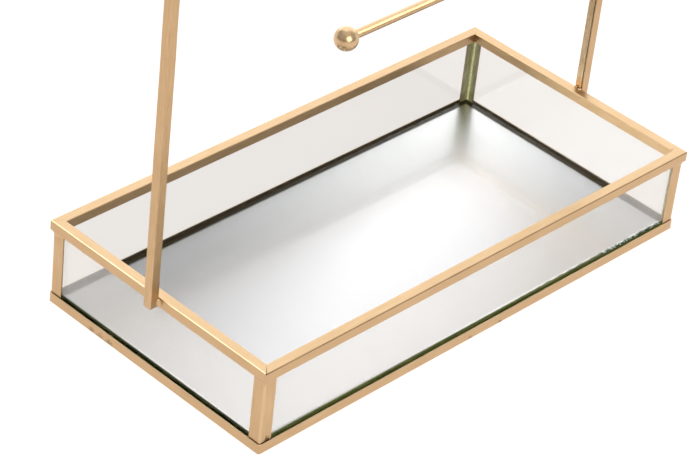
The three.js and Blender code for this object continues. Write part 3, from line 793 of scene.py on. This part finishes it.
def tube_rings(start, end, mitre_start, mitre_end, seed):
    """The section carried along +Z. A mitred end is drawn back in proportion to the distance from the
    tube's outer side, and the draw-back is shared out along the whole length."""
    outline = tube_outline()
    share = np.linspace(0, 1, TUBE_STATIONS)[:, None]
    back = TUBE / 2 - outline[None, :, 0] + PORTAL_MITRE
    low = start + (back if mitre_start else 0 * back)
    high = end - (back if mitre_end else 0 * back)
    along = low + (high - low) * share
    ease = np.sin(math.pi * share)
    lean_x = slow_waver(along, seed, 0.05 * MM) * ease
    lean_y = slow_waver(along, seed + 1, 0.05 * MM) * ease
    return np.stack([outline[None, :, 0] + lean_x, outline[None, :, 1] + lean_y, along], 2)


post_gold = plated_gold("post_gold", mottle=0.1)
seam_gold = plated_gold("seam_gold", mottle=0.45, pale_wear_and_highlight=0.3)
for seed, (side, sign, turns) in enumerate([("right", 1, 0), ("left", -1, 2)]):
    rings = tube_rings(post_lo[2], portal_top, False, True, 80 + seed)
    rings = quarter_turned(rings, (sign * TUBE_CENTRE, 0, 0), turns)
    post = swept_piece(f"tube_{side}", rings, [post_gold, seam_gold])
    per_corner = rings.shape[1] // 10
    material_on_columns(post, rings.shape[1], {1: [4 * per_corner - 1, 10 * per_corner - 1]})
    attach(post, "root")
    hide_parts(f"post_{side}")

bar_rings = tube_rings(-TUBE_CENTRE - TUBE / 2, TUBE_CENTRE + TUBE / 2, True, True, 90)
bar_x, bar_y, bar_z = np.moveaxis(bar_rings, -1, 0)
bar_rings = np.stack([-bar_z, bar_y, bar_x + portal_top - TUBE / 2], -1)
bar = swept_piece("tube_crossbar", bar_rings, [post_gold])
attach(bar, "root")
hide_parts("crossbar")


# ---- Solder at the posts' feet ---------------------------------------------------------------------------
# Each post is held by a run of solder down both sides of its foot, in the angle between the tube and the
# rail. The run is thick in the middle and feathers out at its ends.
FILLET_STATIONS = 40


def foot_fillet(lo, hi, seed):
    """A three-sided section with a hollow face, carried up the joint. Both legs swell along the run as a
    flattened sine, with a slight waver, and the face bows inwards between them."""
    share = np.linspace(0, 1, FILLET_STATIONS)
    leg = (hi[0] - lo[0]) * np.clip(1.15 * np.sin(math.pi * share) ** 0.45, 0.25, 1)
    leg = leg * (0.93 + slow_waver(share * 20 * MM, seed, 0.07))
    face = np.linspace(0, 1, 9)
    u = np.concatenate([[0], (1 - face) ** 1.7])
    v = np.concatenate([[0], face ** 1.7])
    rings = np.empty((FILLET_STATIONS, len(u), 3))
    rings[:, :, 0] = leg[:, None] * u
    rings[:, :, 1] = leg[:, None] * v
    rings[:, :, 2] = (lo[2] + (hi[2] - lo[2]) * share)[:, None]
    return rings


BEADS = {"right_front": (1, -1), "right_back": (1, 1), "left_front": (-1, -1), "left_back": (-1, 1)}
for seed, (place, (sx, sy)) in enumerate(BEADS.items()):
    run_lo, run_hi = (np.array(c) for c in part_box(f"post_solder_{place}"))
    rings = foot_fillet(run_lo, run_hi, 100 + seed)
    root_x = run_lo[0] if sx > 0 else run_hi[0]
    root_y = run_lo[1] if sy > 0 else run_hi[1]
    rings = np.stack([root_x + sx * rings[:, :, 0], root_y + sy * rings[:, :, 1], rings[:, :, 2]], 2)
    fillet = swept_piece(f"fillet_{place}", rings, [solder_gold], sharp=60)
    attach(fillet, "root")
    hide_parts(f"post_solder_{place}")


def solder_lump(name, centre, radii, seed):
    """A ball of solder that ran and froze: a sphere's points pushed in and out by slow sines that depend on
    the swing round it, flattened to the three radii."""
    swing = np.linspace(0, 2 * math.pi, 28, endpoint=False)[None, :]
    rise = np.linspace(0.05, math.pi - 0.05, 18)[:, None]
    phase = np.random.default_rng(seed).uniform(0, 2 * math.pi, 2)
    swell = 1 + 0.16 * np.sin(2 * swing + phase[0]) * np.sin(rise) + 0.09 * np.sin(3 * swing + phase[1])
    x = np.sin(rise) * np.cos(swing) * swell * radii[0] + centre[0]
    y = np.sin(rise) * np.sin(swing) * swell * radii[1] + centre[1]
    z = np.cos(rise) * radii[2] + centre[2] + 0 * swing
    lump = swept_piece(name, np.stack([x, y, z], 2), [solder_gold], sharp=60)
    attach(lump, "root")


foot_spot = np.array([post_lo[0], 0, RIM_TOP])
corner_spot = np.array([HALF_LENGTH, -HALF_DEPTH, RIM_TOP])
LUMPS = [
    ("lump_foot_front", foot_spot, (-0.7, -1.35, 0.1), (1.0, 0.75, 0.6)),
    ("lump_foot_back", foot_spot, (-0.5, 0.9, 0.1), (0.7, 0.9, 0.5)),
    ("lump_rim_front_right", corner_spot, (-3.5, 5.6, 0), (0.6, 0.45, 0.28)),
]
for seed, (name, spot, shift, radii) in enumerate(LUMPS, 1):
    solder_lump(name, spot + np.array(shift) * MM, np.array(radii) * MM, seed)


# ---- Hanging arm -----------------------------------------------------------------------------------------
# A round drawn rod soldered to the inside of the right post, with a turned ball pushed onto its free end.
# Both are plated like the strip and a shade brighter, because drawn and turned work is smoother.
rod_lo, rod_hi = (np.array(c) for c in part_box("arm_rod"))
ball_lo, ball_hi = (np.array(c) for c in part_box("arm_ball"))
ring_lo, ring_hi = (np.array(c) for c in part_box("arm_solder"))
ARM_AXIS = (rod_lo[2] + rod_hi[2]) / 2
ROD_RADIUS = (rod_hi[2] - rod_lo[2]) / 2
BALL_RADIUS = (ball_hi[2] - ball_lo[2]) / 2
BALL_CENTRE = ball_lo[0] + BALL_RADIUS
AROUND = 56


def turned_rings(x, radius):
    """Circles about the arm's axis: one of each radius at each place along X."""
    swing = np.linspace(0, 2 * math.pi, AROUND, endpoint=False)
    y = radius[:, None] * np.cos(swing)
    z = radius[:, None] * np.sin(swing) + ARM_AXIS
    return np.stack([x[:, None] + 0 * swing, y, z], 2)


rod_gold = plated_gold("rod_gold", polish=0.08, tooth=0.1)
ball_gold = plated_gold("ball_gold", polish=0.09, tooth=0.0, pale_wear_and_highlight=0.12)

rod_x = np.concatenate([[rod_lo[0]], np.linspace(rod_lo[0] + 0.1 * MM, rod_hi[0], 90)])
rod_r = np.full(len(rod_x), ROD_RADIUS)
rod_r[0] = ROD_RADIUS - 0.1 * MM
rod_r = rod_r + slow_waver(rod_x, 120, 0.012 * MM) - 0.012 * MM
rod = swept_piece("rod", turned_rings(rod_x, rod_r), [rod_gold])
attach(rod, "root")
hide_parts("arm_rod")

mouth = math.asin((ROD_RADIUS + 0.03 * MM) / BALL_RADIUS)
sweep = np.linspace(0.03, math.pi - mouth, 64)
shell_x = BALL_CENTRE - BALL_RADIUS * np.cos(sweep)
shell_r = BALL_RADIUS * np.sin(sweep)
bore_x = np.array([shell_x[-1] - 0.15 * MM, rod_lo[0] - 0.05 * MM])
bore_r = np.full(2, ROD_RADIUS + 0.02 * MM)
ball_rings = turned_rings(np.concatenate([shell_x, bore_x]), np.concatenate([shell_r, bore_r]))
ball = swept_piece("ball", ball_rings, [ball_gold])
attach(ball, "root")
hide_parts("arm_ball")

ring_share = np.linspace(0, 1, 14)
ring_x = ring_hi[0] - (ring_hi[0] - ring_lo[0]) * ring_share
flare = ((ring_hi[2] - ring_lo[2]) / 2 - ROD_RADIUS) * ((1 - ring_share) ** 2 * 0.9 + 0.1)
outer_ring = turned_rings(ring_x, ROD_RADIUS + flare)
inner_ring = turned_rings(ring_x[::-1], np.full(len(ring_x), ROD_RADIUS + 0.01 * MM))
collar_rings = np.concatenate([outer_ring, inner_ring])
collar = swept_piece("rod_collar", collar_rings, [solder_gold], closed=True)
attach(collar, "root")
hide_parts("arm_solder")


# ---- Table, light and camera -----------------------------------------------------------------------------
# A plain white sweep, lit from underneath like a shooting table so that nothing throws a shadow on it. The
# studio is bright above and behind and dim on the camera's side.
TABLE_HALF = 3.0
table_corners = [(-TABLE_HALF, -TABLE_HALF, 0), (TABLE_HALF, -TABLE_HALF, 0),
                 (TABLE_HALF, TABLE_HALF, 0), (-TABLE_HALF, TABLE_HALF, 0)]
table_mesh = bpy.data.meshes.new("table")
table_mesh.from_pydata(table_corners, [], [(0, 1, 2, 3)])
table = bpy.data.objects.new("table", table_mesh)
bpy.context.collection.objects.link(table)
paper = Nodes(bpy.data.materials.new("table_paper"))
paper.feed(paper.shader, {"Base Color": (0.05, 0.05, 0.05, 1), "Roughness": 0.9, "Specular IOR Level": 0.0})
paper.feed(paper.shader, {"Emission Color": (1.0, 0.935, 0.915, 1), "Emission Strength": 1.1})
table_mesh.materials.append(paper.owner)

# The room's light at the horizon, higher up, overhead and on the backdrop, and the backdrop's direction.
HORIZON, SKY, CEILING, BACKDROP = 0.3, 0.57, 0.9, 1.1
BEHIND = (0.751, 0.66, 0.0)


def studio_world():
    """The room's light by direction: dim at the horizon, lighter above, bright overhead, and behind the
    tray a white backdrop, which rises smoothly from the horizon's light and stops a little way up."""
    n = Nodes(bpy.data.worlds.new("studio"))
    where = n.add("ShaderNodeTexCoord").outputs["Generated"]
    height = n.add("ShaderNodeSeparateXYZ", Vector=where).outputs["Z"]
    room = n.spread(height, 0.05, 0.45, HORIZON, SKY)
    facing = n.add("ShaderNodeVectorMath", {"operation": "DOT_PRODUCT"})
    n.feed(facing, {0: where, 1: BEHIND})
    before_wall = n.spread(facing.outputs["Value"], 0.0, 0.3, 0.0, 1.0)
    below_top = n.spread(height, 0.22, 0.4, 1.0, 0.0)
    wall = n.combine(before_wall, below_top, "MULTIPLY")
    ceiling = n.spread(height, 0.72, 0.95, 0.0, CEILING - SKY)
    total = n.combine(n.combine(room, ceiling), n.combine(wall, BACKDROP - HORIZON, "MULTIPLY"))
    n.feed(n.shader, {"Color": (1.0, 1.0, 1.0, 1), "Strength": total})
    return n.owner


bpy.context.scene.world = studio_world()


def softbox(name, facing, spot, size, radiance, state, pieces, colour=(1, 1, 1)):
    """A rectangular lamp that shines along minus its facing direction, given as three axes. Its power is
    radiance times pi times its area. State says whether the pieces are all it lights or all it leaves."""
    lamp = bpy.data.lights.new(name, "AREA")
    lamp.shape = "RECTANGLE"
    lamp.size, lamp.size_y = size
    lamp.energy = radiance * math.pi * size[0] * size[1]
    lamp.color = colour
    made = bpy.data.objects.new(name, lamp)
    made.matrix_world = Matrix.Translation(spot.tolist()) @ Matrix(facing).transposed().to_4x4()
    made.visible_camera = False
    bpy.context.collection.objects.link(made)
    group = bpy.data.collections.new(name)
    for position, piece in enumerate(pieces):
        group.objects.link(piece)
        group.collection_objects[position].light_linking.link_state = state
    made.light_linking.receiver_collection = group
    return lamp


def towards(direction, length):
    """Three axes for a lamp: the last points along the direction, and the first lies as near as it can to
    the length direction."""
    ahead = np.array(direction, float) / np.linalg.norm(direction)
    up = np.cross(ahead, length)
    up /= np.linalg.norm(up)
    return [np.cross(up, ahead).tolist(), up.tolist(), ahead.tolist()]


CAMERA_AHEAD = (0.613264, 0.539308, -0.577108)
CAMERA_SPOT = (-0.76388, -0.65830, 0.72631)
THROWN = np.array(CAMERA_AHEAD) * (1, 1, -1)
GLEAM_SPOT = np.array([0.0384, 0.0223, mirror_hi[2]])
GLEAM_THROWN = (GLEAM_SPOT - CAMERA_SPOT) * (1, 1, -1)
GLEAM_THROWN /= np.linalg.norm(GLEAM_THROWN)
GLEAM_LINE = (0.852, 0.523, 0.0)
GLEAM_REACH = 0.35
GLEAM_SIZE = (0.7, 0.19)
LAMP_REACH = 1.5
ACROSS = (1, 0, 0)
mirror_and_panes = [mirror] + panes
side_rails = [bpy.data.objects["rail_left"], bpy.data.objects["rail_right"]]

# Two big boxes light the metal and leave out the mirror and the panes, which take their light from the
# left box and the narrow strip. The left box also lights the two short rails, and the right one the rod.
softbox("behind", towards(THROWN, ACROSS), THROWN * LAMP_REACH, (2.4, 2.4), 1.22, "EXCLUDE",
        mirror_and_panes, colour=(0.90, 0.93, 1.0))
near_spot = np.array([-0.287, -0.819, 0.498])
softbox("near_camera", towards(near_spot, ACROSS), near_spot * LAMP_REACH, (1.0, 1.0), 3.4, "EXCLUDE",
        mirror_and_panes)
left_spot = np.array([-0.58, 0.56, 0.59])
softbox("left", towards(left_spot, ACROSS), left_spot * LAMP_REACH, (1.1, 1.1), 3.0, "INCLUDE",
        mirror_and_panes + side_rails)
right_spot = np.array([0.62, -0.52, 0.59])
softbox("right", towards(right_spot, ACROSS), right_spot * LAMP_REACH, (1.1, 1.1), 2.6, "INCLUDE", [rod])
gleam_lamp = GLEAM_SPOT + GLEAM_THROWN * GLEAM_REACH
gleam = softbox("gleam", towards(GLEAM_THROWN, GLEAM_LINE), gleam_lamp, GLEAM_SIZE, 1.13, "INCLUDE",
                mirror_and_panes)


def fade_strip(lamp):
    """The lamp's strength over its own face. Across, it rises evenly from both long edges to the middle
    line; along, it grows evenly over a short stretch past the middle. The two ramps are multiplied."""
    n = Nodes(lamp)
    face = n.add("ShaderNodeNewGeometry").outputs["Parametric"]
    split = n.add("ShaderNodeSeparateXYZ", Vector=face).outputs
    from_edge = n.combine(split["Y"], 0.5, "PINGPONG")
    across = n.add("ShaderNodeMapRange", Value=from_edge)
    n.feed(across, {"From Max": 0.5})
    along = n.add("ShaderNodeMapRange", Value=split["X"])
    n.feed(along, {"From Min": 0.40, "From Max": 0.62, "To Min": 1.0, "To Max": 2.55})
    n.feed(n.shader, {"Strength": n.combine(across.outputs["Result"], along.outputs["Result"], "MULTIPLY")})


fade_strip(gleam)

camera_data = bpy.data.cameras.new("camera")
camera_data.sensor_width = 36
camera_data.lens = 151.0
camera_data.clip_start, camera_data.clip_end = 0.05, 20
camera = bpy.data.objects.new("camera", camera_data)
CAMERA_RIGHT = (0.706409, -0.701367, 0.095237)
CAMERA_DOWN = (-0.353403, -0.466080, -0.811096)
turn = Matrix((CAMERA_RIGHT, [-c for c in CAMERA_DOWN], [-c for c in CAMERA_AHEAD])).transposed()
camera.matrix_world = Matrix.Translation(CAMERA_SPOT) @ turn.to_4x4()
bpy.context.collection.objects.link(camera)
bpy.context.scene.camera = camera
bpy.context.scene.view_settings.view_transform = "Standard"
